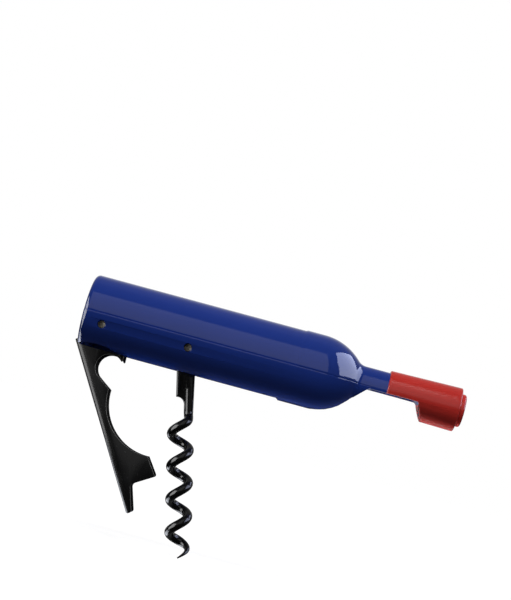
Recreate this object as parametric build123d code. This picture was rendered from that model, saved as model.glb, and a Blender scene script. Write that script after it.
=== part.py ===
from build123d import *
import math
import os

# Folding pocket opener in a case shaped like a small bottle. A channel lever and a corkscrew
# worm hang from two pins in the slotted underside, and fold up into the slot.
# Millimetres. X runs from the base along the case to the neck, Y along the pins, Z up.
# The origin is the centre of the base's end face, and the seam between the shells is at Z = 0.

# Case
case_radius = 12.1
case_wall = 1.8
base_wall = 2.4
base_rim_radius = 1.4
shoulder_start = 73.5
shoulder_radius = 17.2
neck_start = 88.2
neck_radius = 6.0
sleeve_start = 96.0
barrel_relief = 0.25
relief_end = 67.3
relief_ramp = 0.8

# Neck underside and its notch, seen from the side
neck_flat_drop = 0.64
notch_start = 90.5
notch_start_angle = 44.4
notch_end = 106.2
notch_end_angle = 21.0
notch_corner_radius = 1.1
groove_start = 91.3
groove_end = 105.1
groove_radius = 3.4

# Red sleeve and the core that it sits on
sleeve_axis_rise = 0.35
sleeve_start_radius = 6.4
sleeve_end_radius = 6.88
sleeve_length = 23.0
sleeve_wall = 1.05
sleeve_end_wall = 1.5
sleeve_edge_radius = 0.4
sleeve_seat_gap = 0.03
end_disc_radius = 5.15
end_disc_height = 1.7
end_disc_edge_radius = 0.75

# Pins
pin_radius = 1.2
pin_recess = 0.55
pin_chamfer = 0.2
pin_seat_gap = 0.02
pin_running_gap = 0.05
pin_drop = 3.35
lever_pin_place = 6.5
worm_pin_place = 33.8
pin_boss_radius = 3.0

# Lever: sheet channel, drawn along its spine from the foot of its pin, heights from the spine's face
lever_open_angle = 58.15
lever_sheet = 0.8
lever_bend_radius = 1.5
lever_pin_height = 9.48
lever_ear_radius = 3.3
lever_spine_start = 1.35
lever_knee_height = 1.6
lever_tip = 57.3
lever_tip_height = 1.7
lever_tip_radius = 0.6
toe_root_height = 3.7
rim_seat_place = 49.05
rim_seat_corner_radius = 0.9
tab_start = 42.8
tab_start_height = 11.2
tab_height = 11.65
tab_corner_radius = 0.8
grip_arc_place = 28.25
grip_arc_floor = 2.82
grip_arc_radius = 16.28
cusp_place = 19.2
lifter_place = 13.0
lifter_height = 7.5
lifter_radius = 4.25
hook_tip_place = 12.3
hook_tip_height = 12.1
crest_place = 10.2
crest_height = 13.3

# Worm: drawn along its axis from its pin, offsets towards the neck
worm_open_angle = 76.0
wire_radius = 1.45
coil_radius = 2.85
coil_offset = 2.1
coil_pitch = 10.1
coil_turns = 3.75
coil_lead = 1.5
coil_cheek_gap = 0.4
stem_offset = 0.2
stem_bare_length = 2.48
stem_bend_turns = 0.14
point_turns = 0.5
point_radius = 0.2
worm_hub_radius = 2.9
shank_thickness = 2.4
shank_edge_radius = 0.5
shank_length = 14.65
shank_back = 3.72
shank_front = 2.15

# Slot, pockets and pegs inside the shells
lever_side_gap = 0.23
coil_side_gap = 0.3
hub_side_gap = 0.15
lever_tip_gap = 0.35
slot_corner_radius = 1.2
lip_relief_depth = 2.75
lip_relief_radius = 20.0
channel_wall = 1.6
end_web = 1.6
collar_radius = 4.4
swing_gap = 0.25
stop_gap = 0.1
first_station = 20.0
station_pitch = 25.5
station_count = 3
rib_thickness = 1.4
arch_depth = 2.1
peg_inset = 3.65
peg_radius = 0.9
peg_length = 3.0
peg_gap = 0.05
peg_end_gap = 0.5
post_radius = 1.9

# One overrun for every cut
overrun = 1.0


# Sizes that follow from the ones above
coil_reach = coil_radius + wire_radius
lever_width = 2 * (coil_reach + coil_cheek_gap + lever_sheet)
slot_half = lever_width / 2 + lever_side_gap
slot_end = lever_pin_place + lever_tip + lever_tip_gap
narrow_half = coil_reach + coil_side_gap
sleeve_end = sleeve_start + sleeve_length
core_start_radius = sleeve_start_radius - sleeve_wall - sleeve_seat_gap
core_end_radius = sleeve_end_radius - sleeve_wall - sleeve_seat_gap
core_end = sleeve_end - sleeve_end_wall - sleeve_seat_gap
reach = 2 * case_radius
shank_bite_radius = shank_back + stem_offset - wire_radius
stem_end = shank_length + shank_bite_radius + stem_bare_length
coil_start = stem_end + coil_lead
shoulder_turn = 2 * math.atan2(case_radius - neck_radius, neck_start - shoulder_start)
throat_radius = (neck_start - shoulder_start) / math.sin(shoulder_turn) - shoulder_radius
peg_offset = case_radius - peg_inset
stations = [first_station + number * station_pitch for number in range(station_count)]


def side_prism(face, half_width, middle=0):
    """Extrude a face drawn in X and Z by half_width to both sides of Y = middle."""
    return Pos(0, middle, 0) * extrude(Plane.XZ * face, amount=half_width, both=True)


def both_sides(solid):
    """Return the solid with its mirror image across the middle plane."""
    return solid + mirror(solid, Plane.XZ)


def cross_cylinder(radius, length, place, height, middle=0):
    """A cylinder along Y."""
    return Pos(place, middle, height) * Rot(90, 0, 0) * Cylinder(radius, length)


def tangent_point(point, centre, radius, side):
    """Where the tangent from a point touches a circle, on the side given as 1 or -1."""
    away_x = point[0] - centre[0]
    away_y = point[1] - centre[1]
    angle = math.atan2(away_y, away_x) + side * math.acos(radius / math.hypot(away_x, away_y))
    return (centre[0] + radius * math.cos(angle), centre[1] + radius * math.sin(angle))


def corner_at(face, place):
    """The face's corner nearest to a place."""
    return face.vertices().sort_by_distance(Vector(place))[0]


def half_space_above():
    """Everything above the seam, as far as the case reaches."""
    length = sleeve_end + end_disc_height
    return Pos(length / 2, 0, reach / 2) * Box(length + reach, 2 * reach, reach)


def case_outline(relief):
    """Half section of the outside, from the base to the end of the bare neck."""
    barrel_radius = case_radius - relief
    turn = math.degrees(shoulder_turn)
    rim = JernArc((0, barrel_radius - base_rim_radius), (0, 1), base_rim_radius, -90)
    barrel = Line(rim @ 1, (relief_end, barrel_radius))
    ramp = Line(barrel @ 1, (relief_end + relief_ramp, case_radius))
    straight = Line(ramp @ 1, (shoulder_start, case_radius))
    shoulder = JernArc(straight @ 1, (1, 0), shoulder_radius, -turn)
    throat = JernArc(shoulder @ 1, shoulder % 1, throat_radius, turn)
    neck = Line(throat @ 1, (sleeve_start, neck_radius))
    close = Polyline(neck @ 1, (sleeve_start, 0), (0, 0), rim @ 0)
    return make_face([rim, barrel, ramp, straight, shoulder, throat, neck, close])


def case_blank(relief):
    """The solid bottle shape with the core that runs on under the sleeve."""
    blank = revolve(case_outline(relief), Axis.X)
    return blank + sleeve_core()


def sleeve_core():
    """Tapered core on the sleeve's own axis, rooted inside the bare neck."""
    taper = (core_end_radius - core_start_radius) / (core_end - sleeve_start)
    root_radius = core_start_radius - taper * overrun
    outline = Polyline(
        (sleeve_start - overrun, 0),
        (sleeve_start - overrun, root_radius),
        (core_end, core_end_radius),
        (core_end, 0),
        close=True,
    )
    return Pos(0, 0, sleeve_axis_rise) * revolve(make_face(outline), Axis.X)


def hollow_space():
    """The space inside the case wall, from the base wall to the end of the shoulder."""
    inner_radius = case_radius - case_wall
    top = Line((base_wall, inner_radius), (shoulder_start, inner_radius))
    bend = JernArc(top @ 1, (1, 0), shoulder_radius - case_wall, -math.degrees(shoulder_turn))
    end_place = (bend @ 1).X
    close = Polyline(bend @ 1, (end_place, 0), (base_wall, 0), top @ 0)
    return revolve(make_face([top, bend, close]), Axis.X)


def notch_prism():
    """What the neck's notch takes away, from the slanted face to the face by the sleeve's end."""
    start_run = reach / math.tan(math.radians(notch_start_angle))
    end_run = reach * math.tan(math.radians(notch_end_angle))
    outline = Polyline(
        (notch_start, -neck_flat_drop),
        (notch_end, -neck_flat_drop),
        (notch_end + end_run, -neck_flat_drop - reach),
        (notch_start - start_run, -neck_flat_drop - reach),
        close=True,
    )
    face = make_face(outline)
    corner = face.vertices().sort_by(Axis.Y)[-2:].sort_by(Axis.X)[-1]
    return side_prism(fillet(corner, notch_corner_radius), reach)


def neck_groove():
    """Core-out with a round top along the neck's underside."""
    length = groove_end - groove_start
    centre = Pos((groove_start + groove_end) / 2, 0, sleeve_axis_rise)
    top = Rot(0, 90, 0) * Cylinder(groove_radius, length)
    return centre * (top + Pos(0, 0, -reach / 2) * Box(length, 2 * groove_radius, reach))


def lower_region():
    """The space that belongs to the lower shell: below the seam, up to the slanted notch face."""
    slope = math.tan(math.radians(notch_start_angle))
    outline = Polyline(
        (-reach, 0),
        (notch_start + neck_flat_drop / slope, 0),
        (notch_start - (reach - neck_flat_drop) / slope, -reach),
        (-reach, -reach),
        close=True,
    )
    return side_prism(make_face(outline), reach)


def station_posts(radius, top, bottom):
    """One upright cylinder on each side at every station, from bottom to top."""
    height = top - bottom
    posts = [
        Pos(place, peg_offset, bottom + height / 2) * Cylinder(radius, height)
        for place in stations
    ]
    return both_sides(Part() + posts)


def upper_shell():
    """Upper half of the case with the neck, arch ribs inside, and the pegs that locate it."""
    hollow = hollow_space() & half_space_above()
    shell = case_blank(barrel_relief) - lower_region() - notch_prism() - hollow
    shell -= neck_groove()
    arch_radius = case_radius - case_wall - arch_depth
    for place in stations:
        slab = Pos(place, 0, 0) * Rot(0, 90, 0) * Cylinder(case_radius, rib_thickness)
        opening = Pos(place, 0, 0) * Rot(0, 90, 0) * Cylinder(arch_radius, rib_thickness + overrun)
        shell += (slab - opening) & hollow
    shell += station_posts(post_radius, case_radius, 0) & hollow
    shell += station_posts(peg_radius, overrun, -peg_length)
    return shell


def lever_place():
    """Where the lever's drawing goes: its pin, turned to the open rest position."""
    return Pos(lever_pin_place, 0, -pin_drop) * Rot(0, lever_open_angle, 0)


def near_edge(gap):
    """Foot, knee and ear point of the lever's edge by the base, moved outwards by a gap."""
    foot = (lever_spine_start - gap, -lever_pin_height)
    knee = (lever_spine_start - gap, lever_knee_height - lever_pin_height)
    ear = tangent_point(knee, (0, 0), lever_ear_radius + gap, -1)
    return foot, knee, ear


def swing_cuts():
    """Clearance in the base wall for the lever's spine and cheeks as they swing."""
    start = lever_spine_start - stop_gap
    corner_reach = math.hypot(lever_spine_start, lever_pin_height - lever_sheet) - swing_gap
    sweep = Polyline((start, -reach), (start, 0), (start + reach, 0), (start + reach, -reach), close=True)
    spine_cut = side_prism(make_face(sweep), slot_half)
    spine_cut -= cross_cylinder(corner_reach, lever_width + overrun, 0, 0)
    foot, knee, ear = near_edge(swing_gap)
    cheek_outline = Polyline(
        (foot[0], -reach), knee, ear, (reach, ear[1]), (reach, -reach), close=True
    )
    tongue_half = lever_width / 2 - lever_bend_radius - stop_gap
    cut_half = (slot_half - tongue_half) / 2
    cheek_cut = side_prism(make_face(cheek_outline), cut_half, tongue_half + cut_half)
    keep = Pos(0, 0, -reach / 2) * Box(2 * (base_wall + overrun), 2 * reach, reach)
    return (lever_place() * (spine_cut + both_sides(cheek_cut))) & keep


def slot_cut(half_width, start, end, corner_radius):
    """The slot in the underside, with rounded far corners."""
    length = end - start
    block = Pos((start + end) / 2, 0, -reach / 2) * Box(length, 2 * half_width, reach)
    if corner_radius > 0:
        corners = block.edges().filter_by(Axis.Z).sort_by(Axis.X)[-2:]
        block = fillet(corners, corner_radius)
    return block


def lower_shell():
    """Lower half of the case: slot walls, pockets beside them, pin bosses and peg sockets."""
    shell = case_blank(0) & lower_region()
    wide_half = slot_half + channel_wall
    wide_end = slot_end + end_web
    pocket = hollow_space() & lower_region()
    pocket -= slot_cut(wide_half, -overrun, wide_end, 0)
    pocket -= slot_cut(narrow_half + channel_wall, -overrun, neck_start, 0)
    for place in stations:
        pocket -= Pos(place, 0, -reach / 2) * Box(rib_thickness, 2 * reach, reach)
    pocket -= station_posts(post_radius, overrun, -peg_length - channel_wall)
    for place in (lever_pin_place, worm_pin_place):
        pocket -= cross_cylinder(pin_boss_radius, 2 * case_radius, place, -pin_drop)
    shell -= pocket
    shell -= slot_cut(slot_half, base_wall, slot_end, slot_corner_radius)
    shell -= slot_cut(narrow_half, base_wall, sleeve_start, 0)
    shell -= swing_cuts()
    relief_length = reach - slot_half
    relief_height = lip_relief_depth - case_radius - lip_relief_radius
    relief_middle = slot_half + relief_length / 2
    relief = cross_cylinder(lip_relief_radius, relief_length, lever_pin_place, relief_height, relief_middle)
    shell -= both_sides(relief)
    collar_start = shank_thickness / 2 + hub_side_gap
    collar_length = slot_half + channel_wall / 2 - collar_start
    collar_middle = collar_start + collar_length / 2
    collar = cross_cylinder(collar_radius, collar_length, worm_pin_place, -pin_drop, collar_middle)
    shell += both_sides(collar) & lower_region()
    for place in (lever_pin_place, worm_pin_place):
        shell -= cross_cylinder(pin_radius + pin_seat_gap, 2 * reach, place, -pin_drop)
    shell -= station_posts(peg_radius + peg_gap, overrun, -peg_length - peg_end_gap)
    return shell


def neck_cap():
    """Tapered sleeve with a closed end and a raised end disc, cut open along the notch."""
    inner_start = sleeve_start_radius - sleeve_wall
    inner_end = sleeve_end_radius - sleeve_wall
    inner_face = sleeve_end - sleeve_end_wall
    disc_end = sleeve_end + end_disc_height
    outline = Polyline(
        (sleeve_start, inner_start),
        (sleeve_start, sleeve_start_radius),
        (sleeve_end, sleeve_end_radius),
        (sleeve_end, end_disc_radius),
        (disc_end, end_disc_radius),
        (disc_end, 0),
        (inner_face, 0),
        (inner_face, inner_end),
        close=True,
    )
    face = make_face(outline)
    rim = face.vertices().group_by(Axis.Y)[-1]
    face = fillet(rim, sleeve_edge_radius)
    disc_edge = face.vertices().group_by(Axis.X)[-1].sort_by(Axis.Y)[-1]
    face = fillet(disc_edge, end_disc_edge_radius)
    cap = Pos(0, 0, sleeve_axis_rise) * revolve(face, Axis.X)
    return cap - notch_prism()


def lever_side():
    """The lever's side outline: ear, hook, cap lifter, grip arc, tab, rim seat and toe."""
    def at(place, height):
        return (place, height - lever_pin_height)

    foot, knee, ear_low = near_edge(0)
    crest = at(crest_place, crest_height)
    ear_high = tangent_point(crest, (0, 0), lever_ear_radius, 1)
    outline = Polyline(
        foot,
        at(lever_tip, 0),
        at(lever_tip, lever_tip_height),
        at(rim_seat_place, toe_root_height),
        at(rim_seat_place, tab_height),
        at(tab_start, tab_start_height),
        at(hook_tip_place, hook_tip_height),
        crest,
        ear_high,
        ear_low,
        knee,
        close=True,
    )
    face = make_face(outline)
    tip = face.vertices().group_by(Axis.X)[-1]
    face = fillet(tip, lever_tip_radius)
    face = fillet(corner_at(face, at(rim_seat_place, toe_root_height)), rim_seat_corner_radius)
    face = fillet(corner_at(face, at(rim_seat_place, tab_height)), tab_corner_radius)
    face += Circle(lever_ear_radius)
    lifter = at(lifter_place, lifter_height)
    grip = at(grip_arc_place, grip_arc_floor + grip_arc_radius)
    cusp_rise = math.sqrt(grip_arc_radius**2 - (grip_arc_place - cusp_place) ** 2)
    cusp = (cusp_place, grip[1] - cusp_rise)
    throat_foot = tangent_point(cusp, lifter, lifter_radius, -1)
    throat = Polyline(
        (hook_tip_place, lifter[1]),
        throat_foot,
        cusp,
        (cusp_place, grip[1]),
        (hook_tip_place, grip[1]),
        close=True,
    )
    face -= Pos(*lifter) * Circle(lifter_radius)
    face -= make_face(throat)
    face -= (Pos(*grip) * Circle(grip_arc_radius)) & (
        Pos(cusp_place + grip_arc_radius, grip[1]) * Rectangle(2 * grip_arc_radius, 2 * grip_arc_radius)
    )
    return face


def lever():
    """Sheet channel: the side outline cut through a folded channel section."""
    half_width = lever_width / 2
    height = crest_height + overrun
    outer = Pos(0, height / 2) * Rectangle(lever_width, height)
    outer = fillet(outer.vertices().group_by(Axis.Y)[0], lever_bend_radius)
    inner = Pos(0, lever_sheet + height / 2) * Rectangle(lever_width - 2 * lever_sheet, height)
    inner = fillet(inner.vertices().group_by(Axis.Y)[0], lever_bend_radius - lever_sheet)
    section = Plane(origin=(-reach, 0, -lever_pin_height), x_dir=(0, 1, 0), z_dir=(1, 0, 0)) * (outer - inner)
    channel = extrude(section, amount=lever_tip + 2 * reach)
    body = channel & side_prism(lever_side(), half_width)
    body -= cross_cylinder(pin_radius + pin_running_gap, 2 * lever_width, 0, 0)
    return lever_place() * body


def biarc(start, start_way, end, end_way):
    """Two arcs that leave start and reach end along the given directions."""
    across = end - start
    ways = start_way + end_way
    spread = 2 * (1 - start_way.dot(end_way))
    dot = across.dot(ways)
    arm = (math.sqrt(dot * dot + spread * across.dot(across)) - dot) / spread
    first_tip = start + start_way * arm
    last_tip = end - end_way * arm
    middle = (first_tip + last_tip) / 2
    middle_way = (last_tip - first_tip).normalized()
    return [
        TangentArc(start, middle, tangent=start_way),
        TangentArc(middle, end, tangent=middle_way),
    ]


def coil_point(turn):
    """Place and direction on the coil's centre line, a right-hand helix along X."""
    angle = 2 * math.pi * turn
    rise = coil_pitch / (2 * math.pi)
    place = Vector(
        coil_pitch * turn,
        -coil_radius * math.sin(angle),
        coil_radius * math.cos(angle) - coil_offset,
    )
    way = Vector(rise, -coil_radius * math.cos(angle), -coil_radius * math.sin(angle))
    return place, way.normalized()


def coil_wire():
    """The bent wire from inside the shank to the start of the point, and the point's own arcs."""
    shift = Vector(coil_start, 0, 0)
    stem_start = Vector(shank_length - shank_bite_radius, 0, stem_offset)
    bend_start = Vector(stem_end, 0, stem_offset)
    place, way = coil_point(stem_bend_turns)
    path = [Line(stem_start, bend_start)]
    path += biarc(bend_start, Vector(1, 0, 0), place + shift, way)
    quarters = round(4 * coil_turns)
    step = (coil_turns - stem_bend_turns) / quarters
    turns = [stem_bend_turns + step * number for number in range(quarters + 1)]
    for here, there in zip(turns, turns[1:]):
        start, start_way = coil_point(here)
        end, end_way = coil_point(there)
        path += biarc(start + shift, start_way, end + shift, end_way)
    start, start_way = coil_point(coil_turns)
    end, end_way = coil_point(coil_turns + point_turns)
    point_path = biarc(start + shift, start_way, end + shift, end_way)
    return path, point_path


def least_gap(path):
    """Smallest gap between the wire and itself, on points along its centre line."""
    samples = 6
    points = [edge @ (number / samples) for edge in path for number in range(samples)]
    half_turn = 4 * samples
    pairs = [(here, there) for start, here in enumerate(points) for there in points[start + half_turn:]]
    return min((here - there).length for here, there in pairs) - 2 * wire_radius


def round_at(curve, share, radius):
    """A circle across a curve, at a share of its length."""
    return Plane(origin=curve @ share, z_dir=curve % share) * Circle(radius)


def worm():
    """Flat shank round the pin, wire neck, coil and tapered point."""
    path, point_path = coil_wire()
    print("worm, least gap to itself:", round(least_gap(path + point_path), 2), "mm")
    wire = sweep(round_at(path[0], 0, wire_radius), path=Wire(path))
    point_wire = Wire(point_path)
    sections = [round_at(point_wire, 0, wire_radius), round_at(point_wire, 1, point_radius)]
    point = sweep(sections, path=point_wire, multisection=True)
    front_end = stem_offset + wire_radius
    back_end = stem_offset - wire_radius
    hub_foot = tangent_point((0, -shank_back), (0, 0), worm_hub_radius, -1)
    outline = Polyline(
        (0, shank_front),
        (stem_end, front_end),
        (stem_end, back_end),
        (shank_length + shank_bite_radius, back_end),
        (shank_length, -shank_back),
        (0, -shank_back),
        hub_foot,
        close=True,
    )
    face = make_face(outline) + Circle(worm_hub_radius)
    face -= Pos(shank_length + shank_bite_radius, -shank_back) * Circle(shank_bite_radius)
    shank = side_prism(face, shank_thickness / 2)
    shank = fillet(shank.edges() - shank.edges().filter_by(Axis.Y), shank_edge_radius)
    body = shank + wire + point
    body -= cross_cylinder(pin_radius + pin_running_gap, 2 * lever_width, 0, 0)
    return Pos(worm_pin_place, 0, -pin_drop) * Rot(0, worm_open_angle, 0) * body


def pin(place):
    """Plain rod across the case, both ends chamfered and set in from the surface."""
    surface = math.sqrt(case_radius**2 - pin_drop**2)
    rod = Cylinder(pin_radius, 2 * (surface - pin_recess))
    rod = chamfer(rod.edges().filter_by(GeomType.CIRCLE), pin_chamfer)
    return Pos(place, 0, -pin_drop) * Rot(90, 0, 0) * rod


pieces = {
    "upper_shell": upper_shell(),
    "lower_shell": lower_shell(),
    "neck_cap": neck_cap(),
    "lever": lever(),
    "worm": worm(),
    "lever_pin": pin(lever_pin_place),
    "worm_pin": pin(worm_pin_place),
}

os.makedirs("parts", exist_ok=True)
for name, piece in pieces.items():
    export_step(piece, "parts/" + name + ".step")
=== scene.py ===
"""Dress the folding pocket opener: shells, red sleeve, channel lever, worm and pins.

All sizes are in millimetres and go to Blender in metres. X runs from the base to the neck,
Y along the pins, and Z up out of the closed back of the case.
"""

import logging
import math
from collections.abc import Callable, Iterator, Sequence
from contextlib import contextmanager
from dataclasses import dataclass
from enum import Enum, IntEnum

import bmesh
import bpy
from mathutils import Matrix, Vector
from mathutils.geometry import interpolate_bezier


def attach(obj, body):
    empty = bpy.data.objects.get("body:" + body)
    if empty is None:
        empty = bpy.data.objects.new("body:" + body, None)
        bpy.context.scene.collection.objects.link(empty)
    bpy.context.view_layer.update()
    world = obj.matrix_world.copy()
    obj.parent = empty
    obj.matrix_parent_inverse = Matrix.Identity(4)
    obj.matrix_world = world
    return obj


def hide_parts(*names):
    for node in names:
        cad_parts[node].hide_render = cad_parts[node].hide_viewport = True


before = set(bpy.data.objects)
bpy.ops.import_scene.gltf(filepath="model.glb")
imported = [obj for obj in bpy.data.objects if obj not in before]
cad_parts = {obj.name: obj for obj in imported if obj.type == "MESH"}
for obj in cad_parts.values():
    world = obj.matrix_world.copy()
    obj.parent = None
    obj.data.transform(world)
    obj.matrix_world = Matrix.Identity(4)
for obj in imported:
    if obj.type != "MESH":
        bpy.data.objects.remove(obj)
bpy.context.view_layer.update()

LOG = logging.getLogger("opener")
MM = 0.001
TURNED_SIDES = 144
ROD_SIDES = 64

# Edges sharper than SHARP stay sharp, and vertices nearer than WELD are merged. A cutter runs
# OVERRUN past what it cuts. A normal longer than FACING along an axis faces that way.
SHARP = math.radians(28)
WELD = 0.0004
OVERRUN = 1.0
FACING = 0.99

LEVER_PIN = 6.5
WORM_PIN = 33.8
PIN_DROP = 3.35

Point = tuple[float, float]
Triple = tuple[float, float, float]
Stops = tuple[Point, ...]
Solid = bpy.types.Object
Socket = bpy.types.NodeSocket
EdgeTest = Callable[[Vector, Vector], bool]


class Cut(Enum):
    """How a second solid changes the first."""

    AWAY = "DIFFERENCE"
    TOGETHER = "UNION"
    COMMON = "INTERSECT"


class Body(Enum):
    """The bodies of the frame that pieces ride on."""

    CASE = "case"
    LEVER = "lever"
    WORM = "worm"


class Bevel(IntEnum):
    """How many faces a bevel has round its edge."""

    TINY = 2
    FINE = 3
    SHANK = 4
    CORNER = 6
    BEND = 8


def grey(level: float) -> Triple:
    """A colour with no tint."""
    return (level, level, level)


def added(name: str, add: Callable[..., object], **settings: object) -> Solid:
    """Add an object by one of Blender's operators, as the only one selected, and name it."""
    bpy.ops.object.select_all(action="DESELECT")
    add(**settings)
    obj = bpy.context.object
    obj.name = name
    return obj


def only(obj: Solid) -> None:
    """Select one object alone and make it the active one."""
    bpy.ops.object.select_all(action="DESELECT")
    obj.select_set(True)
    bpy.context.view_layer.objects.active = obj


def settle(obj: Solid) -> None:
    """Put the object's place, turn and size into its mesh."""
    only(obj)
    bpy.ops.object.transform_apply(location=True, rotation=True, scale=True)


@contextmanager
def editing(obj: Solid, kind: str = "") -> Iterator[None]:
    """Edit a mesh with all of it selected, or with none if a kind is to be picked, EDGE or FACE."""
    only(obj)
    bpy.ops.object.mode_set(mode="EDIT")
    if kind:
        bpy.ops.mesh.select_mode(type=kind)
    bpy.ops.mesh.select_all(action="DESELECT" if kind else "SELECT")
    yield
    bpy.ops.object.mode_set(mode="OBJECT")


def outward(obj: Solid) -> None:
    """Merge doubles and make every face point outwards."""
    with editing(obj):
        bpy.ops.mesh.remove_doubles(threshold=WELD * MM)
        bpy.ops.mesh.normals_make_consistent(inside=False)


def close_ends(obj: Solid) -> None:
    """Fill the open ends of a mesh."""
    with editing(obj, "EDGE"):
        bpy.ops.mesh.select_non_manifold()
        bpy.ops.mesh.fill_holes(sides=0)


def pick_faces(obj: Solid, wanted: Callable[[Vector], bool]) -> None:
    """Select the faces of a mesh being edited whose normals pass a test."""
    shape = bmesh.from_edit_mesh(obj.data)
    for face in shape.faces:
        face.select = wanted(face.normal)
    bmesh.update_edit_mesh(obj.data)


def combine(obj: Solid, other: Solid, how: Cut) -> None:
    """Change a solid by another one, which is used up.

    Args:
        obj: The solid that stays.
        other: The solid that is cut away, added or kept in common.
        how: Which of the three.
    """
    only(obj)
    modifier = obj.modifiers.new("join", "BOOLEAN")
    modifier.solver = "EXACT"
    modifier.operation = how.value
    modifier.object = other
    bpy.ops.object.modifier_apply(modifier=modifier.name)
    bpy.data.objects.remove(other, do_unlink=True)


def cut_away(obj: Solid, cutters: Sequence[Solid]) -> None:
    """Cut solids away from another, one after the other."""
    for cutter in cutters:
        combine(obj, cutter, Cut.AWAY)


def turned(name: str, stations: Sequence[Triple]) -> Solid:
    """Draw a turned solid along X, as a disc that is extruded and scaled from station to station.

    Args:
        name: The object's name.
        stations: Place along X, radius and height of the axis, one after the other.

    Returns:
        The closed solid.
    """
    place, radius, height = stations[0]
    obj = added(
        name,
        bpy.ops.mesh.primitive_circle_add,
        vertices=TURNED_SIDES,
        radius=radius * MM,
        fill_type="NGON",
        location=(place * MM, 0, height * MM),
        rotation=(math.pi / 2, 0, math.pi / 2),
    )
    settle(obj)
    with editing(obj):
        for here, there in zip(stations, stations[1:]):
            step = ((there[0] - here[0]) * MM, 0, (there[2] - here[2]) * MM)
            scale = there[1] / here[1]
            bpy.ops.mesh.extrude_region_move(TRANSFORM_OT_translate={"value": step})
            centre = (there[0] * MM, 0, there[2] * MM)
            bpy.ops.transform.resize(value=(1, scale, scale), center_override=centre)
    outward(obj)
    return obj


def flat(name: str, corners: Sequence[Triple]) -> Solid:
    """Add one flat face with the given corners, in millimetres."""
    obj = added(name, bpy.ops.mesh.primitive_circle_add, vertices=len(corners), radius=MM, fill_type="NGON")
    for vertex, corner in zip(obj.data.vertices, corners):
        vertex.co = [value * MM for value in corner]
    return obj


def prism(name: str, outline: Sequence[Point], half_width: float, middle: float = 0.0) -> Solid:
    """Draw a side outline in X and Z and extrude it along Y.

    Args:
        name: The object's name.
        outline: Corners in order, as places along X and heights.
        half_width: Half of the extrusion.
        middle: The place along Y of the middle of the extrusion.

    Returns:
        The closed solid.
    """
    obj = flat(name, [(place, middle - half_width, height) for place, height in outline])
    with editing(obj):
        bpy.ops.mesh.extrude_region_move(TRANSFORM_OT_translate={"value": (0, 2 * half_width * MM, 0)})
    outward(obj)
    return obj


def block(name: str, low: Sequence[float], high: Sequence[float]) -> Solid:
    """Add a rectangular block between two corners."""
    obj = added(name, bpy.ops.mesh.primitive_cube_add, size=1)
    obj.location = [(a + b) / 2 * MM for a, b in zip(low, high)]
    obj.scale = [(b - a) * MM for a, b in zip(low, high)]
    settle(obj)
    return obj


def rod(
    name: str,
    radius: float,
    length: float,
    middle: Sequence[float],
    along: str,
    sides: int = ROD_SIDES,
) -> Solid:
    """Add a round rod.

    Args:
        name: The object's name.
        radius: The rod's radius.
        length: The rod's length.
        middle: The middle of the rod.
        along: The axis that it lies along, Y or Z.
        sides: How many sides the rod has.

    Returns:
        The rod.
    """
    obj = added(
        name,
        bpy.ops.mesh.primitive_cylinder_add,
        vertices=sides,
        radius=radius * MM,
        depth=length * MM,
        location=[value * MM for value in middle],
        rotation=(math.pi / 2, 0, 0) if along == "Y" else (0, 0, 0),
    )
    settle(obj)
    return obj


def copied(obj: Solid, step: Sequence[float]) -> Solid:
    """Copy an object with a mesh of its own, moved by a step in millimetres."""
    only(obj)
    bpy.ops.object.duplicate(linked=False)
    copy = bpy.context.object
    copy.location = Vector(step) * MM
    settle(copy)
    return copy


def both_sides(piece: Solid, offset: float) -> list[Solid]:
    """A piece that stands at an offset along Y, and its copy on the other side."""
    return [piece, copied(piece, (0, -2 * offset, 0))]


def open_out(obj: Solid, pin_place: float, angle: float) -> None:
    """Turn a piece, drawn along X from its pin, to its open rest position."""
    obj.rotation_euler = (0, math.radians(angle), 0)
    obj.location = (pin_place * MM, 0, -PIN_DROP * MM)
    settle(obj)


def soften(obj: Solid, width: float, faces: Bevel, wanted: EdgeTest, angle: float = SHARP) -> None:
    """Bevel the sharp edges whose two ends pass a test.

    Args:
        obj: The solid.
        width: How far the bevel reaches from the edge.
        faces: How many faces round the bevel.
        wanted: A test of an edge's two ends, given in millimetres.
        angle: The smallest angle that counts as sharp.
    """
    with editing(obj, "EDGE"):
        bpy.ops.mesh.edges_select_sharp(sharpness=angle)
        shape = bmesh.from_edit_mesh(obj.data)
        for edge in shape.edges:
            if edge.select and not wanted(edge.verts[0].co / MM, edge.verts[1].co / MM):
                edge.select = False
        bmesh.update_edit_mesh(obj.data)
        bpy.ops.mesh.bevel(offset=width * MM, segments=faces, affect="EDGES", clamp_overlap=False)


def smooth(obj: Solid) -> None:
    """Shade a finished mesh smooth, with its sharp edges kept."""
    only(obj)
    bpy.ops.object.shade_smooth_by_angle(angle=SHARP)


def arc(centre: Point, radius: float, first: float, last: float, steps: int) -> list[Point]:
    """Points along an arc, with both ends, angles in degrees."""
    turns = [math.radians(first + (last - first) * step / steps) for step in range(steps + 1)]
    return [(centre[0] + radius * math.cos(turn), centre[1] + radius * math.sin(turn)) for turn in turns]


def bearing(point: Point) -> float:
    """The angle of a point as seen from the origin, in degrees."""
    return math.degrees(math.atan2(point[1], point[0]))


def tangent_point(point: Point, centre: Point, radius: float, side: int) -> Point:
    """Where the tangent from a point touches a circle, on the side given as 1 or -1."""
    away = (point[0] - centre[0], point[1] - centre[1])
    angle = math.atan2(away[1], away[0]) + side * math.acos(radius / math.hypot(*away))
    return (centre[0] + radius * math.cos(angle), centre[1] + radius * math.sin(angle))


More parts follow.
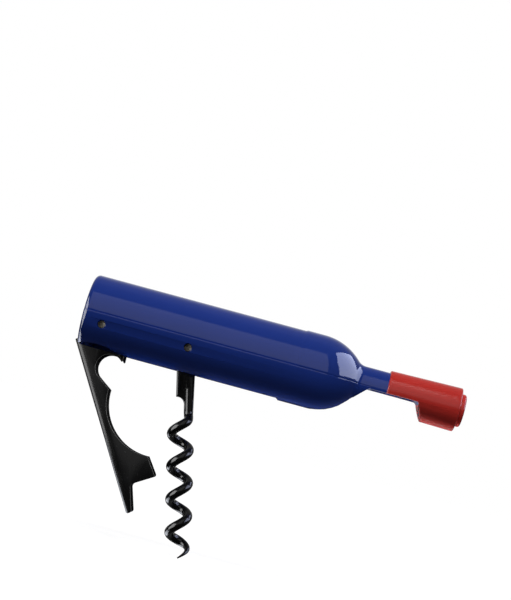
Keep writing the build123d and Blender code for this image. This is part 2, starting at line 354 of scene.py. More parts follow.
class Nodes:
    """A node tree with short ways to add and link its nodes."""

    def __init__(self, tree: bpy.types.NodeTree) -> None:
        """Keep the tree at hand."""
        self.tree = tree

    def add(self, kind: str, **settings: object) -> bpy.types.Node:
        """Add a node and set its own properties."""
        node = self.tree.nodes.new(kind)
        for key, value in settings.items():
            setattr(node, key, value)
        return node

    def link(self, output: Socket, target: Socket) -> None:
        """Link an output to an input."""
        self.tree.links.new(output, target)

    def ranged(self, value: Socket, source: Point, target: Point = (0, 1)) -> Socket:
        """Map one range of values to another, clamped."""
        node = self.add("ShaderNodeMapRange")
        node.inputs["From Min"].default_value, node.inputs["From Max"].default_value = source
        node.inputs["To Min"].default_value, node.inputs["To Max"].default_value = target
        self.link(value, node.inputs["Value"])
        return node.outputs["Result"]

    def mixed(self, share: Socket, first: Triple | Socket, second: Triple | Socket) -> Socket:
        """Mix two colours, each given as numbers or as an output."""
        node = self.add("ShaderNodeMix", data_type="RGBA")
        self.link(share, node.inputs["Factor"])
        for name, colour in (("A", first), ("B", second)):
            if isinstance(colour, Socket):
                self.link(colour, node.inputs[name])
            else:
                node.inputs[name].default_value = (*colour, 1)
        return node.outputs["Result"]

    def levels(self, value: Socket, stops: Sequence[Point]) -> Socket:
        """Grey levels along a value between -1 and 1."""
        node = self.add("ShaderNodeValToRGB")
        marks = node.color_ramp.elements
        while len(marks) < len(stops):
            marks.new(0.5)
        for mark, (place, level) in zip(marks, stops):
            mark.position = (place + 1) / 2
            mark.color = (*grey(level), 1)
        self.link(self.ranged(value, (-1, 1)), node.inputs["Fac"])
        return node.outputs["Color"]


class MaterialNodes(Nodes):
    """The node tree of a new material, with its shader and Object coordinates."""

    def __init__(self, name: str) -> None:
        """Start the material."""
        self.material = bpy.data.materials.new(name)
        self.material.use_nodes = True
        super().__init__(self.material.node_tree)
        self.shader = self.tree.nodes["Principled BSDF"]
        self.place = self.add("ShaderNodeTexCoord").outputs["Object"]

    def stretched(self, scale: Sequence[float]) -> Socket:
        """Object coordinates scaled along each axis."""
        mapping = self.add("ShaderNodeMapping")
        mapping.inputs["Scale"].default_value = scale
        self.link(self.place, mapping.inputs["Vector"])
        return mapping.outputs["Vector"]

    def noise(self, pattern: Point, vector: Socket | None = None) -> Socket:
        """Noise with a pattern's scale and detail, on Object coordinates if none are given."""
        node = self.add("ShaderNodeTexNoise")
        node.inputs["Scale"].default_value, node.inputs["Detail"].default_value = pattern
        self.link(vector or self.place, node.inputs["Vector"])
        return node.outputs["Fac"]

    def drive(self, name: str, value: Socket) -> None:
        """Link an output to one of the shader's inputs."""
        self.link(value, self.shader.inputs[name])

    def bump(self, height: Socket, depth: float) -> None:
        """Raise the surface by a height pattern, depth in millimetres."""
        node = self.add("ShaderNodeBump")
        node.inputs["Distance"].default_value = depth * MM
        self.link(height, node.inputs["Height"])
        self.drive("Normal", node.outputs["Normal"])


@dataclass(frozen=True)
class PlasticFinish:
    """Moulded plastic: faint colour drift, gloss that varies, fine scuffs and a slight orange peel.

    Each noise is its scale and detail, and each span the part of its values that tells.
    """

    name: str
    colour: Triple
    drift: Triple
    gloss: Point
    peel_depth: float
    shine: float = 0.5
    ior: float = 1.5
    drift_noise: Point = (60, 3)
    drift_span: Point = (0.35, 0.65)
    scuff_stretch: Triple = (60, 1400, 1400)
    scuff_noise: Point = (1, 4)
    scuff_span: Point = (0.5, 0.75)
    peel_noise: Point = (700, 2)

    def make(self) -> bpy.types.Material:
        """Build the material."""
        nodes = MaterialNodes(self.name)
        drift = nodes.ranged(nodes.noise(self.drift_noise), self.drift_span)
        nodes.drive("Base Color", nodes.mixed(drift, self.colour, self.drift))
        scuffs = nodes.noise(self.scuff_noise, nodes.stretched(self.scuff_stretch))
        nodes.drive("Roughness", nodes.ranged(scuffs, self.scuff_span, self.gloss))
        nodes.shader.inputs["IOR"].default_value = self.ior
        nodes.shader.inputs["Specular IOR Level"].default_value = self.shine
        nodes.bump(nodes.noise(self.peel_noise), self.peel_depth)
        return nodes.material


@dataclass(frozen=True)
class CoatedSteelFinish:
    """Black coated steel: fine grained coating with brighter worn specks and a cloudy gloss."""

    name: str
    colour: Triple
    worn: Triple
    gloss: Point
    grain_depth: float
    shine: float = 0.5
    speck_noise: Point = (1500, 3)
    speck_span: Point = (0.66, 0.74)
    cloud_noise: Point = (160, 4)
    cloud_span: Point = (0.35, 0.65)
    grain_noise: Point = (2600, 3)

    def make(self) -> bpy.types.Material:
        """Build the material."""
        nodes = MaterialNodes(self.name)
        specks = nodes.ranged(nodes.noise(self.speck_noise), self.speck_span)
        nodes.drive("Base Color", nodes.mixed(specks, self.colour, self.worn))
        nodes.drive("Roughness", nodes.ranged(nodes.noise(self.cloud_noise), self.cloud_span, self.gloss))
        nodes.shader.inputs["Specular IOR Level"].default_value = self.shine
        nodes.bump(nodes.noise(self.grain_noise), self.grain_depth)
        return nodes.material


@dataclass(frozen=True)
class DullSteelFinish:
    """Bare steel of the pins, dull and a little brown."""

    name: str
    colour: Triple
    stain: Triple
    gloss: Point
    stain_noise: Point = (1800, 5)
    stain_span: Point = (0.4, 0.6)
    gloss_span: Point = (0.3, 0.7)
    grain_noise: Point = (3000, 2)
    grain_depth: float = 0.01

    def make(self) -> bpy.types.Material:
        """Build the material."""
        nodes = MaterialNodes(self.name)
        stain = nodes.noise(self.stain_noise)
        share = nodes.ranged(stain, self.stain_span)
        nodes.drive("Base Color", nodes.mixed(share, self.colour, self.stain))
        nodes.drive("Roughness", nodes.ranged(stain, self.gloss_span, self.gloss))
        nodes.shader.inputs["Metallic"].default_value = 1
        nodes.bump(nodes.noise(self.grain_noise), self.grain_depth)
        return nodes.material


def hand_over(obj: Solid, finish: bpy.types.Material, body: Body, nodes: Sequence[str]) -> None:
    """Shade a finished piece, give it its material in a slot of its own, set its body and hide the CAD
    nodes that it stands for.

    Args:
        obj: The finished piece.
        finish: Its material.
        body: The body that it rides on.
        nodes: The CAD nodes that it replaces.
    """
    smooth(obj)
    obj.data.materials.clear()
    obj.data.materials.append(finish)
    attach(obj, body.value)
    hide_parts(*nodes)
    LOG.info("%s: %d faces, rides on %s", obj.name, len(obj.data.polygons), body.value)


@dataclass
class Bottle:
    """The turned outline that both shells share."""

    radius: float = 12.1
    wall: float = 1.8
    base_wall: float = 2.4
    rim_radius: float = 1.4
    shoulder_start: float = 73.5
    shoulder_radius: float = 17.2
    neck_start: float = 88.2
    neck_radius: float = 6.0
    sleeve_start: float = 96.0
    relief_end: float = 67.3
    relief_ramp: float = 0.8
    core_rise: float = 0.35
    core_start_radius: float = 5.32
    core_end_radius: float = 5.8
    core_end: float = 117.47
    seam_edge: float = 0.14
    notch_drop: float = 0.64
    notch_start: float = 90.5
    notch_start_angle: float = 44.4
    notch_end: float = 106.2
    notch_end_angle: float = 21.0
    notch_corner: float = 1.1
    groove_start: float = 91.3
    groove_end: float = 105.1
    groove_radius: float = 3.4
    touch: float = 0.02
    hair: float = 0.01
    hold: float = 0.5
    reach: float = 30.0
    rim_steps: int = 10
    shoulder_steps: int = 26
    throat_steps: int = 8
    notch_steps: int = 8

    @property
    def shoulder_turn(self) -> float:
        """The angle that the shoulder turns through, in degrees."""
        drop = self.radius - self.neck_radius
        return math.degrees(2 * math.atan2(drop, self.neck_start - self.shoulder_start))

    def shoulder(self, radius: float, arc_radius: float) -> list[Point]:
        """Points along the shoulder's arc, from the barrel on."""
        centre = (self.shoulder_start, radius - arc_radius)
        return arc(centre, arc_radius, 90, 90 - self.shoulder_turn, self.shoulder_steps)

    def outside(self, relief: float) -> list[Triple]:
        """Stations of the outside, from the base to the end of the core."""
        barrel = self.radius - relief
        rim_centre = (self.rim_radius, barrel - self.rim_radius)
        rim = arc(rim_centre, self.rim_radius, 180, 90, self.rim_steps)
        turn = math.radians(self.shoulder_turn)
        throat_radius = (self.neck_start - self.shoulder_start) / math.sin(turn) - self.shoulder_radius
        throat_centre = (self.neck_start, self.neck_radius + throat_radius)
        throat = arc(throat_centre, throat_radius, 270 - self.shoulder_turn, 270, self.throat_steps)
        line = rim + [(self.rim_radius + self.hold, barrel)]
        if relief:
            ramp_end = self.relief_end + self.relief_ramp
            line += [(self.relief_end - self.hold, barrel), (self.relief_end, barrel)]
            line += [(ramp_end, self.radius), (ramp_end + self.hold, self.radius)]
        line.append((self.shoulder_start - self.hold, self.radius))
        line += self.shoulder(self.radius, self.shoulder_radius) + throat[1:]
        line += [(self.neck_start + self.hold, self.neck_radius), (self.sleeve_start, self.neck_radius)]
        stations = [(place, radius, 0.0) for place, radius in line]
        stations.append((self.sleeve_start, self.core_start_radius, self.core_rise))
        stations.append((self.core_end, self.core_end_radius, self.core_rise))
        return stations

    def hollow(self, name: str, extra: float = 0.0) -> Solid:
        """The turned space inside the wall, made wider by extra."""
        inner = self.radius - self.wall + extra
        line = [(self.base_wall - extra, inner)]
        line += self.shoulder(inner, self.shoulder_radius - self.wall + extra)
        return turned(name, [(place, radius, 0.0) for place, radius in line])

    def below(self) -> Solid:
        """The space of the lower shell: below the seam, up to the notch's slanted face."""
        slope = math.tan(math.radians(self.notch_start_angle))
        outline = [
            (-self.reach, 0),
            (self.notch_start + self.notch_drop / slope, 0),
            (self.notch_start - (self.reach - self.notch_drop) / slope, -self.reach),
            (-self.reach, -self.reach),
        ]
        return prism("below", outline, self.reach)

    def notch(self) -> Solid:
        """What the neck's notch takes away."""
        floor = -self.notch_drop
        start_run = self.reach / math.tan(math.radians(self.notch_start_angle))
        lean = self.notch_end_angle
        back = self.notch_corner / math.tan(math.radians(90 + lean) / 2)
        centre = (self.notch_end - back, floor - self.notch_corner)
        outline = [(self.notch_start, floor)]
        outline += arc(centre, self.notch_corner, 90, lean, self.notch_steps)
        outline.append((self.notch_end + self.reach * math.tan(math.radians(lean)), floor - self.reach))
        outline.append((self.notch_start - start_run, floor - self.reach))
        return prism("notch", outline, self.reach)

    def groove(self) -> list[Solid]:
        """The round top and the straight sides of the core-out along the neck's underside."""
        radius = self.groove_radius
        rise = self.core_rise
        top = turned("groove", [(self.groove_start, radius, rise), (self.groove_end, radius, rise)])
        # The sides stand in by a hair, because faces that only just meet leave open edges.
        half = radius - self.hair
        low = (self.groove_start, -half, -self.reach)
        return [top, block("groove", low, (self.groove_end, half, rise))]

    def on_seam(self, one: Vector, other: Vector) -> bool:
        """Whether an edge lies on the seam between the shells."""
        return max(abs(one.z), abs(other.z)) < self.touch

    def on_outside(self, point: Vector) -> bool:
        """Whether a point in millimetres lies on the turned outside."""
        line = self.outside(0)
        for here, there in zip(line, line[1:]):
            if here[0] <= point.x < there[0]:
                share = (point.x - here[0]) / (there[0] - here[0])
                radius = here[1] + (there[1] - here[1]) * share
                return abs(math.hypot(point.y, point.z) - radius) < self.touch
        return False


@dataclass
class Shells:
    """The upper and the lower half of the case."""

    bottle: Bottle
    finish: bpy.types.Material
    relief: float = 0.25
    slot_half: float = 5.73
    slot_end: float = 64.15
    slot_corner: float = 1.2
    narrow_half: float = 4.6
    channel_wall: float = 1.6
    end_web: float = 1.6
    lip: float = 0.22
    lip_relief_drop: float = 9.35
    lip_relief_radius: float = 20.0
    stations: tuple[float, ...] = (20.0, 45.5, 71.0)
    rib: float = 1.4
    arch_radius: float = 8.2
    post_offset: float = 8.45
    post_radius: float = 1.9
    peg_radius: float = 0.9
    peg_length: float = 3.0
    socket_radius: float = 0.95
    socket_depth: float = 3.5
    hole_radius: float = 1.22
    hole_edge: float = 0.12
    boss_radius: float = 3.0
    collar_radius: float = 4.4
    collar_start: float = 1.35
    collar_end: float = 6.53
    bite: float = 0.3
    arch_steps: int = 60
    relief_sides: int = 360

    def row(self, first: Solid) -> list[Solid]:
        """The piece modelled at the first station, and its copies at the others."""
        return [first] + [copied(first, (place - self.stations[0], 0, 0)) for place in self.stations[1:]]

    def pair(self, radius: float, bottom: float, top: float) -> list[Solid]:
        """An upright rod on each side at the first station."""
        rise = (bottom + top) / 2
        post = rod("post", radius, top - bottom, (self.stations[0], self.post_offset, rise), "Z")
        return both_sides(post, self.post_offset)

    def posts(self, radius: float, bottom: float, top: float) -> list[Solid]:
        """One upright rod on each side at every station."""
        return [piece for post in self.pair(radius, bottom, top) for piece in self.row(post)]

    def at_pins(self, name: str, radius: float, length: float) -> list[Solid]:
        """A rod across the case at the place of each pin."""
        piece = rod(name, radius, length, (LEVER_PIN, 0, -PIN_DROP), "Y")
        return [piece, copied(piece, (WORM_PIN - LEVER_PIN, 0, 0))]

    def arches(self) -> list[Solid]:
        """The arch ribs inside the upper shell, one spun from a small section and copied."""
        outer = self.bottle.radius - self.bottle.wall + self.bite
        place = self.stations[0] * MM
        middle = (place, (outer + self.arch_radius) / 2 * MM, 0)
        rib = added("arch", bpy.ops.mesh.primitive_plane_add, size=1, location=middle)
        rib.scale = (self.rib * MM, (outer - self.arch_radius) * MM, 1)
        settle(rib)
        with editing(rib):
            bpy.ops.mesh.spin(steps=self.arch_steps, angle=-math.pi, center=(place, 0, 0), axis=(1, 0, 0))
        close_ends(rib)
        outward(rib)
        return self.row(rib)

    def build_upper(self) -> Solid:
        """Model the upper shell.

        Returns:
            The finished shell.
        """
        bottle = self.bottle
        shell = turned("upper_case", bottle.outside(self.relief))
        cut_away(shell, [bottle.below(), bottle.notch(), *bottle.groove()])
        soften(shell, bottle.seam_edge / 2, Bevel.TINY, bottle.on_seam)
        combine(shell, bottle.hollow("hollow"), Cut.AWAY)
        fittings = self.arches() + self.posts(self.peg_radius, -self.peg_length, self.rib)
        # The posts start a touch above the ends of the arches, for the same reason as the groove.
        for post in self.pair(self.post_radius, bottle.touch, bottle.radius):
            combine(post, bottle.hollow("wider", self.bite), Cut.COMMON)
            fittings += self.row(post)
        for piece in fittings:
            combine(shell, piece, Cut.TOGETHER)
        return shell

    def pocket(self) -> Solid:
        """The space beside the channel walls, less the webs, posts and bosses that stay."""
        bottle = self.bottle
        space = bottle.hollow("pocket")
        combine(space, bottle.below(), Cut.COMMON)
        wide = self.slot_half + self.channel_wall
        narrow = self.narrow_half + self.channel_wall
        depth = -bottle.reach
        start = -bottle.rim_radius
        wide_end = self.slot_end + self.end_web
        kept = [
            block("wide", (start, -wide, depth), (wide_end, wide, OVERRUN)),
            block("narrow", (start, -narrow, depth), (bottle.neck_start, narrow, OVERRUN)),
        ]
        for place in self.stations:
            low = (place - self.rib / 2, -bottle.reach, depth)
            kept.append(block("web", low, (place + self.rib / 2, bottle.reach, OVERRUN)))
        kept += self.posts(self.post_radius, -self.peg_length - self.channel_wall, OVERRUN)
        kept += self.at_pins("boss", self.boss_radius, 2 * bottle.radius)
        cut_away(space, kept)
        return space

    def slots(self) -> list[Solid]:
        """The two widths of the slot, the wide one with round far corners."""
        start = self.bottle.base_wall
        low = -self.bottle.reach
        half = self.slot_half
        wide = block("slot", (start, -half, low), (self.slot_end, half, OVERRUN))
        soften(wide, self.slot_corner, Bevel.BEND, self.on_far_corner)
        half = self.narrow_half
        return [wide, block("slot", (start, -half, low), (self.bottle.sleeve_start, half, OVERRUN))]

    def on_far_corner(self, one: Vector, other: Vector) -> bool:
        """Whether an edge is an upright one at the far end of the wide slot."""
        return min(one.x, other.x) > self.slot_end - OVERRUN and abs(one.z - other.z) > OVERRUN

    def build_lower(self, swing: Sequence[Solid]) -> Solid:
        """Model the lower shell.

        Args:
            swing: The clearance solids for the lever's swing, cut out of the base wall.

        Returns:
            The finished shell.
        """
        bottle = self.bottle
        shell = turned("lower_case", bottle.outside(0))
        combine(shell, bottle.below(), Cut.COMMON)
        soften(shell, bottle.seam_edge, Bevel.FINE, bottle.on_seam)
        cut_away(shell, [*self.slots(), *self.lip_reliefs()])
        soften(shell, self.lip, Bevel.FINE, self.on_lip)
        cut_away(shell, [self.pocket(), *swing])
        for collar in self.collars():
            combine(shell, collar, Cut.TOGETHER)
        cut_away(shell, self.at_pins("hole", self.hole_radius, 3 * bottle.radius))
        cut_away(shell, self.posts(self.socket_radius, -self.socket_depth, OVERRUN))
        soften(shell, self.hole_edge, Bevel.TINY, self.on_hole_rim)
        return shell

    def on_hole_rim(self, one: Vector, other: Vector) -> bool:
        """Whether an edge lies on the outer rim of a pin hole."""
        inside = self.bottle.radius - self.bottle.wall
        for point in (one, other):
            away = min(math.hypot(point.x - place, point.z + PIN_DROP) for place in (LEVER_PIN, WORM_PIN))
            if away > self.hole_radius + self.bottle.touch or abs(point.y) < inside:
                return False
        return True

    def on_lip(self, one: Vector, other: Vector) -> bool:
        """Whether an edge lies on the outside along the slot."""
        inside = max(abs(one.y), abs(other.y)) < self.slot_half + self.bottle.touch
        clear = min(one.x, other.x) > self.bottle.base_wall + self.lip and max(one.z, other.z) < -self.lip
        return inside and clear and self.bottle.on_outside(one) and self.bottle.on_outside(other)

    def lip_reliefs(self) -> list[Solid]:
        """The shallow round relief in the slot's lips by the lever's pin, one to each side."""
        radius = self.lip_relief_radius
        reach = self.bottle.reach
        offset = self.slot_half + reach / 2
        middle = (LEVER_PIN, offset, -self.lip_relief_drop - radius)
        return both_sides(rod("relief", radius, reach, middle, "Y", self.relief_sides), offset)

    def collars(self) -> list[Solid]:
        """The round collars that keep the worm in the middle of the slot."""
        offset = (self.collar_start + self.collar_end) / 2
        length = self.collar_end - self.collar_start
        collar = rod("collar", self.collar_radius, length, (WORM_PIN, offset, -PIN_DROP), "Y")
        combine(collar, self.bottle.below(), Cut.COMMON)
        return both_sides(collar, offset)

    def dress(self, swing: Sequence[Solid]) -> None:
        """Model both shells and hand them over."""
        hand_over(self.build_upper(), self.finish, Body.CASE, ["upper_shell"])
        hand_over(self.build_lower(swing), self.finish, Body.CASE, ["lower_shell"])


@dataclass
class Sleeve:
    """The red sleeve over the neck's core, with its end disc."""

    bottle: Bottle
    finish: bpy.types.Material
    start_radius: float = 6.4
    end_radius: float = 6.88
    length: float = 23.0
    wall: float = 1.05
    end_wall: float = 1.5
    edge: float = 0.4
    disc_radius: float = 5.15
    disc_height: float = 1.7
    disc_edge: float = 0.75
    cut_edge: float = 0.12
    edge_steps: int = 5
    disc_steps: int = 7

    def build(self) -> Solid:
        """Model the sleeve.

        Returns:
            The finished sleeve.
        """
        rise = self.bottle.core_rise
        start = self.bottle.sleeve_start
        end = start + self.length
        disc_end = end + self.disc_height
        centre = (start + self.edge, self.start_radius - self.edge)
        line = arc(centre, self.edge, 180, 90, self.edge_steps)
        centre = (end - self.edge, self.end_radius - self.edge)
        line += arc(centre, self.edge, 90, 0, self.edge_steps)
        line.append((end, self.disc_radius))
        centre = (disc_end - self.disc_edge, self.disc_radius - self.disc_edge)
        line += arc(centre, self.disc_edge, 90, 0, self.disc_steps)
        sleeve = turned("neck_sleeve", [(place, radius, rise) for place, radius in line])
        inner = [
            (start - OVERRUN, self.start_radius - self.wall, rise),
            (start, self.start_radius - self.wall, rise),
            (end - self.end_wall, self.end_radius - self.wall, rise),
        ]
        cut_away(sleeve, [turned("cavity", inner), self.bottle.notch()])
        last = end - OVERRUN
        soften(sleeve, self.cut_edge, Bevel.TINY, lambda a, b: max(a.z, b.z) < 0 and max(a.x, b.x) < last)
        return sleeve

    def dress(self) -> None:
        """Model the sleeve and hand it over."""
        hand_over(self.build(), self.finish, Body.CASE, ["neck_cap"])


@dataclass
class Lever:
    """The channel lever, drawn along its spine with heights from the spine's outer face."""

    finish: bpy.types.Material
    open_angle: float = 58.15
    width: float = 11.0
    sheet: float = 0.8
    bend: float = 1.5
    pin_height: float = 9.48
    ear_radius: float = 3.3
    spine_start: float = 1.35
    knee_height: float = 1.6
    tip: float = 57.3
    tip_height: float = 1.7
    tip_radius: float = 0.6
    toe_root: float = 3.7
    seat_place: float = 49.05
    seat_corner: float = 0.9
    tab_start: float = 42.8
    tab_start_height: float = 11.2
    tab_height: float = 11.65
    tab_corner: float = 0.8
    arc_place: float = 28.25
    arc_floor: float = 2.82
    arc_radius: float = 16.28
    cusp_place: float = 19.2
    lifter_place: float = 13.0
    lifter_height: float = 7.5
    lifter_radius: float = 4.25
    hook_place: float = 12.3
    hook_height: float = 12.1
    crest_place: float = 10.2
    crest_height: float = 13.3
    hole_radius: float = 1.25
    edge: float = 0.16
    edge_angle: float = 38.0
    swing_gap: float = 0.25
    stop_gap: float = 0.1
    ear_steps: int = 16
    bite_steps: int = 72

    def at(self, place: float, height: float) -> Point:
        """A place on the side outline, from the pin."""
        return (place, height - self.pin_height)

    def near_edge(self, gap: float) -> list[Point]:
        """Foot, knee and ear point of the edge by the base, moved outwards by a gap."""
        foot = (self.spine_start - gap, -self.pin_height)
        knee = (self.spine_start - gap, self.knee_height - self.pin_height)
        return [foot, knee, tangent_point(knee, (0, 0), self.ear_radius + gap, -1)]

    def swing_cuts(self, bottle: Bottle, slot_half: float) -> list[Solid]:
        """Clearance solids for the spine and the cheeks, in the base wall."""
        reach = bottle.reach
        start = self.spine_start - self.stop_gap
        corner = math.hypot(self.spine_start, self.pin_height - self.sheet) - self.swing_gap
        end = start + reach
        spine = prism("swing", [(start, -reach), (start, 0), (end, 0), (end, -reach)], slot_half)
        combine(spine, rod("core", corner, 2 * self.width, (0, 0, 0), "Y"), Cut.AWAY)
        foot, knee, ear = self.near_edge(self.swing_gap)
        outline = [(foot[0], -reach), knee, ear, (reach, ear[1]), (reach, -reach)]
        tongue = self.width / 2 - self.bend - self.stop_gap
        half = (slot_half - tongue) / 2
        cuts = [spine]
        for side in (-1, 1):
            cuts.append(prism("swing", outline, half, side * (tongue + half)))
        deep = bottle.base_wall + OVERRUN
        for cut in cuts:
            open_out(cut, LEVER_PIN, self.open_angle)
            combine(cut, block("keep", (-deep, -reach, -reach), (deep, reach, 0)), Cut.COMMON)
        return cuts

    def outline(self) -> list[Point]:
        """The side outline, before its round bites."""
        foot, knee, ear_low = self.near_edge(0)
        crest = self.at(self.crest_place, self.crest_height)
        ear_high = tangent_point(crest, (0, 0), self.ear_radius, 1)
        return [
            foot,
            self.at(self.tip, 0),
            self.at(self.tip, self.tip_height),
            self.at(self.seat_place, self.toe_root),
            self.at(self.seat_place, self.tab_height),
            self.at(self.tab_start, self.tab_start_height),
            self.at(self.hook_place, self.hook_height),
            crest,
            *arc((0, 0), self.ear_radius, bearing(ear_high), bearing(ear_low) + 360, self.ear_steps),
            knee,
        ]

    def bites(self) -> list[Solid]:
        """The cap lifter, its straight throat and the grip arc, as solids to cut away."""
        lifter = self.at(self.lifter_place, self.lifter_height)
        grip = self.at(self.arc_place, self.arc_floor + self.arc_radius)
        rise = math.sqrt(self.arc_radius**2 - (self.arc_place - self.cusp_place) ** 2)
        cusp = (self.cusp_place, grip[1] - rise)
        foot = tangent_point(cusp, lifter, self.lifter_radius, -1)
        throat = [
            (self.hook_place, lifter[1]),
            foot,
            cusp,
            (self.cusp_place, grip[1]),
            (self.hook_place, grip[1]),
        ]
        first = bearing((cusp[0] - grip[0], cusp[1] - grip[1]))
        bay = [*arc(grip, self.arc_radius, first, 0, self.bite_steps), (self.cusp_place, grip[1])]
        return [
            prism("bite", arc(lifter, self.lifter_radius, 0, 360, self.bite_steps)[:-1], self.width),
            prism("throat", throat, self.width),
            prism("bay", bay, self.width),
        ]

    def build(self) -> Solid:
        """Model the lever.

        Returns:
            The finished lever in its open position.
        """
        half = self.width / 2
        bottom = -self.pin_height
        top = self.crest_height + OVERRUN + bottom
        channel = block("channel_lever", (-half, -half, bottom), (self.tip + half, half, top))
        low = bottom + OVERRUN
        soften(channel, self.bend, Bevel.BEND, lambda a, b: max(a.z, b.z) < low and abs(a.x - b.x) > half)
        with editing(channel, "FACE"):
            pick_faces(channel, lambda normal: normal.z > FACING or abs(normal.x) > FACING)
            bpy.ops.mesh.delete(type="FACE")
        wall = channel.modifiers.new("sheet", "SOLIDIFY")
        wall.thickness = self.sheet * MM
        wall.offset = -1
        wall.use_even_offset = True
        bpy.ops.object.modifier_apply(modifier=wall.name)
        side = prism("side", self.outline(), self.width)
        for radius, place, height in (
            (self.tip_radius, self.tip, 0),
            (self.tip_radius, self.tip, self.tip_height),
            (self.seat_corner, self.seat_place, self.toe_root),
            (self.tab_corner, self.seat_place, self.tab_height),
        ):
            soften(side, radius, Bevel.CORNER, self.near(place, height))
        cut_away(side, self.bites())
        combine(channel, side, Cut.COMMON)
        combine(channel, rod("hole", self.hole_radius, 2 * self.width, (0, 0, 0), "Y"), Cut.AWAY)
        outward(channel)
        soften(channel, self.edge, Bevel.TINY, lambda a, b: True, math.radians(self.edge_angle))
        open_out(channel, LEVER_PIN, self.open_angle)
        return channel

    def near(self, place: float, height: float) -> EdgeTest:
        """A test for the edge along Y at a place on the outline."""
        corner = Vector(self.at(place, height))
        return lambda a, b: max((Vector((p.x, p.z)) - corner).length for p in (a, b)) < self.edge

    def dress(self) -> None:
        """Model the lever and hand it over."""
        hand_over(self.build(), self.finish, Body.LEVER, ["lever"])


@dataclass
class Worm:
    """The worm, drawn along its axis from its pin, with offsets towards the neck."""

    finish: bpy.types.Material
    open_angle: float = 76.0
    wire: float = 1.45
    coil_radius: float = 2.85
    offset: float = 2.1
    pitch: float = 10.1
    turns: float = 3.75
    start: float = 21.1
    stem_offset: float = 0.2
    stem_end: float = 19.6
    bend_turns: float = 0.14
    point_turns: float = 0.5
    point_radius: float = 0.2
    hub: float = 2.9
    thickness: float = 2.4
    edge: float = 0.5
    length: float = 14.65
    back: float = 3.72
    front: float = 2.15
    bite: float = 2.47
    hole_radius: float = 1.25
    turn_steps: int = 28
    stem_steps: int = 6
    bend_steps: int = 10
    bite_steps: int = 16
    hub_steps: int = 28
    nudge: float = 0.001
    slack: float = 0.01

    def coil(self, turn: float) -> Vector:
        """A place on the coil's centre line."""
        angle = 2 * math.pi * turn
        height = self.coil_radius * math.cos(angle) - self.offset
        return Vector((self.start + self.pitch * turn, -self.coil_radius * math.sin(angle), height))

    def neck_bend(self, bend: Vector, turn: float) -> list[Vector]:
        """A smooth bend from the end of the straight stem to a place on the coil."""
        place = self.coil(turn)
        way = (self.coil(turn + self.nudge) - self.coil(turn - self.nudge)).normalized()
        start_way = Vector((1, 0, 0))
        across = place - bend
        spread = 2 * (1 - start_way.dot(way))
        dot = across.dot(start_way + way)
        arm = (math.sqrt(dot * dot + spread * across.dot(across)) - dot) / spread * 4 / 3
        return interpolate_bezier(bend, bend + start_way * arm, place - way * arm, place, self.bend_steps)

    def centre_line(self) -> list[tuple[Vector, float]]:
        """Places and wire radii from inside the shank to the point."""
        first = self.bend_turns
        stem = Vector((self.length - self.bite, 0, self.stem_offset))
        bend = Vector((self.stem_end, 0, self.stem_offset))
        line = [(stem.lerp(bend, step / self.stem_steps), self.wire) for step in range(self.stem_steps)]
        line += [(place, self.wire) for place in self.neck_bend(bend, first)[:-1]]
        total = self.turns + self.point_turns
        count = round((total - first) * self.turn_steps)
        for step in range(count + 1):
            turn = first + (total - first) * step / count
            share = max(0.0, (turn - self.turns) / self.point_turns)
            line.append((self.coil(turn), self.wire + (self.point_radius - self.wire) * share))
        return line

    def drawn_wire(self) -> Solid:
        """The bent wire, a path with a round section and a tapered end, made a mesh."""
        line = self.centre_line()
        obj = added("wire", bpy.ops.curve.primitive_nurbs_path_add)
        spline = obj.data.splines[0]
        spline.points.add(len(line) - len(spline.points))
        for point, (place, radius) in zip(spline.points, line):
            point.co = (*(place * MM), 1)
            point.radius = radius / self.wire
        spline.order_u = 4
        spline.use_endpoint_u = True
        spline.resolution_u = 2
        obj.data.bevel_depth = self.wire * MM
        obj.data.bevel_resolution = 8
        obj.data.use_fill_caps = True
        bpy.ops.object.convert(target="MESH")
        obj = bpy.context.object
        outward(obj)
        return obj

    def shank(self) -> Solid:
        """The flat shank round the pin, with the round bite at its foot."""
        stem_front = self.stem_offset + self.wire
        stem_back = self.stem_offset - self.wire
        foot = tangent_point((0, -self.back), (0, 0), self.hub, -1)
        # The hub's arc starts where the slanted front of the shank meets it.
        slope = (stem_front - self.front) / self.stem_end
        steep = 1 + slope**2
        root = (slope * self.front) ** 2 - steep * (self.front**2 - self.hub**2)
        place = (math.sqrt(root) - slope * self.front) / steep
        first = bearing((place, self.front + slope * place))
        last = bearing(foot) + 360
        centre = (self.length + self.bite, -self.back)
        outline = [
            (self.stem_end, stem_back),
            *arc(centre, self.bite, 90, 180, self.bite_steps),
            (0, -self.back),
            *reversed(arc((0, 0), self.hub, first, last, self.hub_steps)),
            (self.stem_end, stem_front),
        ]
        obj = prism("shank", outline, self.thickness / 2)
        soften(obj, self.edge, Bevel.SHANK, self.on_side)
        return obj

    def on_side(self, one: Vector, other: Vector) -> bool:
        """Whether an edge goes round a flat side of the shank."""
        return abs(abs(one.y) - self.thickness / 2) < self.slack and abs(one.y - other.y) < self.slack

    def build(self) -> Solid:
        """Model the worm.

        Returns:
            The finished worm in its open position.
        """
        worm = self.shank()
        worm.name = "worm_screw"
        combine(worm, self.drawn_wire(), Cut.TOGETHER)
        combine(worm, rod("hole", self.hole_radius, 2 * self.thickness, (0, 0, 0), "Y"), Cut.AWAY)
        open_out(worm, WORM_PIN, self.open_angle)
        return worm

    def dress(self) -> None:
        """Model the worm and hand it over."""
        hand_over(self.build(), self.finish, Body.WORM, ["worm"])


